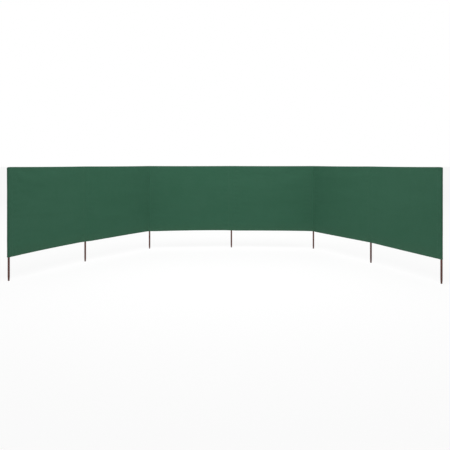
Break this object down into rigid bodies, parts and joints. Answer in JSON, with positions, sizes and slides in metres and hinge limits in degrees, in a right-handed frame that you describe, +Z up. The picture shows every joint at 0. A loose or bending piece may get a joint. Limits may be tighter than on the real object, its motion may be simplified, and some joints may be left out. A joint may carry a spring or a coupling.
{
  "type": "beach windbreak",
  "caption": "Beach windbreak of plain cloth bays stretched between round wooden poles in sewn pockets, planted in a U whose wings shelter the space in front.",
  "frame": {"origin": "centre of the flat foot of the centre pole, at ground level before the poles are driven in", "axes": "+X to the right along the back bays seen from the sheltered side, +Y away from the sheltered side, +Z up along the poles"},
  "size_m": [5.041, 2.5951, 1.335],
  "materials": {
    "cloth": "matte woven, dark green",
    "pole_wood": "red-brown stain, satin"
  },
  "bodies": {
    "root": {"pole_1": "pole_wood", "pole_2": "pole_wood", "pole_3": "pole_wood", "pole_4": "pole_wood", "pole_5": "pole_wood", "pole_6": "pole_wood", "pole_7": "pole_wood", "pocket_1": "cloth", "pocket_2": "cloth", "pocket_3": "cloth", "pocket_4": "cloth", "pocket_5": "cloth", "pocket_6": "cloth", "pocket_7": "cloth", "panel_1": "cloth", "panel_2": "cloth", "panel_3": "cloth", "panel_4": "cloth", "panel_5": "cloth", "panel_6": "cloth"}
  },
  "joints": []
}
